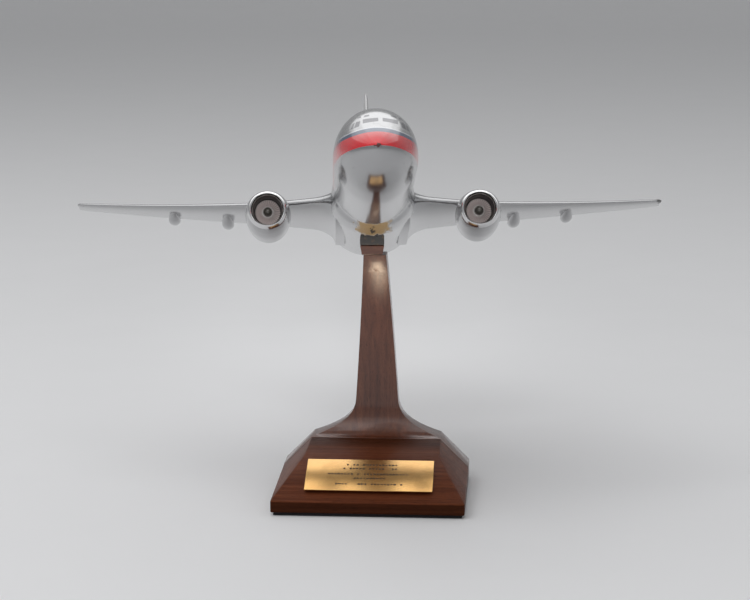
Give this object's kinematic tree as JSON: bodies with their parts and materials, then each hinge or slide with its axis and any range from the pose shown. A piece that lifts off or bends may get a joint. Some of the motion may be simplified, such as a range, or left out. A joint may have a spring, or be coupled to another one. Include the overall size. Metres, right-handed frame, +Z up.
{
  "type": "desktop airliner model",
  "caption": "Presentation model of a swept-wing twin-engined airliner, nose up on a swivelling stud over a curved walnut stand with a sloping front and a metal plaque.",
  "frame": {"origin": "centre of the stand's felt underside", "axes": "+Z up, -Y towards the side the aircraft's nose points to (the front, with the plaque), +X towards the aircraft's left wing"},
  "size_m": [0.2887, 0.3348, 0.1914],
  "materials": {
    "silver_lacquer": "high-gloss silver-grey lacquer over carved wood",
    "tail_lacquer": "gloss blue-grey lacquer over carved wood",
    "polished_metal": "polished bright metal ring",
    "fan_paint": "dark grey moulded resin, satin",
    "steel": "turned steel, dull",
    "brass": "brushed and lacquered brass",
    "slate_plate": "dark slate enamel on metal",
    "walnut": "dark red-brown walnut under satin lacquer",
    "birch": "plain pale dowel",
    "felt": "black felt",
    "tape": "double-sided mounting tape",
    "nylon": "plain nylon"
  },
  "bodies": {
    "stand": {"stem_board": "walnut", "base_wedge": "walnut", "base_felt": "felt", "plaque": "brass", "plaque_tape": "tape", "stem_dowel_left": "birch", "stem_dowel_right": "birch", "stem_bush": "brass", "mount_stud": "steel", "friction_washer": "nylon"},
    "aircraft": {"fuselage": "silver_lacquer", "wing_body_fairing": "silver_lacquer", "wing_left": "silver_lacquer", "wing_right": "silver_lacquer", "tailplane_left": "silver_lacquer", "tailplane_right": "silver_lacquer", "nacelle_left": "silver_lacquer", "nacelle_right": "silver_lacquer", "pylon_left": "silver_lacquer", "pylon_right": "silver_lacquer", "flap_track_inner_left": "silver_lacquer", "flap_track_inner_right": "silver_lacquer", "flap_track_outer_left": "silver_lacquer", "flap_track_outer_right": "silver_lacquer", "fin": "tail_lacquer", "inlet_lip_left": "polished_metal", "inlet_lip_right": "polished_metal", "fan_disc_left": "fan_paint", "fan_disc_right": "fan_paint", "spinner_left": "fan_paint", "spinner_right": "fan_paint", "core_nozzle_left": "steel", "core_nozzle_right": "steel", "exhaust_cone_left": "steel", "exhaust_cone_right": "steel", "fan_pin_left": "steel", "fan_pin_right": "steel", "wing_pin_left": "steel", "wing_pin_right": "steel", "belly_bush": "brass", "fin_pin_front": "brass", "fin_pin_rear": "brass", "tailplane_pin_left": "brass", "tailplane_pin_right": "brass", "mount_collar": "slate_plate", "swivel_block": "walnut"}
  },
  "joints": [
    {"name": "aircraft_swivel", "type": "hinge", "parent": "stand", "child": "aircraft", "pos_m": [0, 0.0209, 0.1131], "axis": [0, 0, 1], "continuous": true}
  ]
}
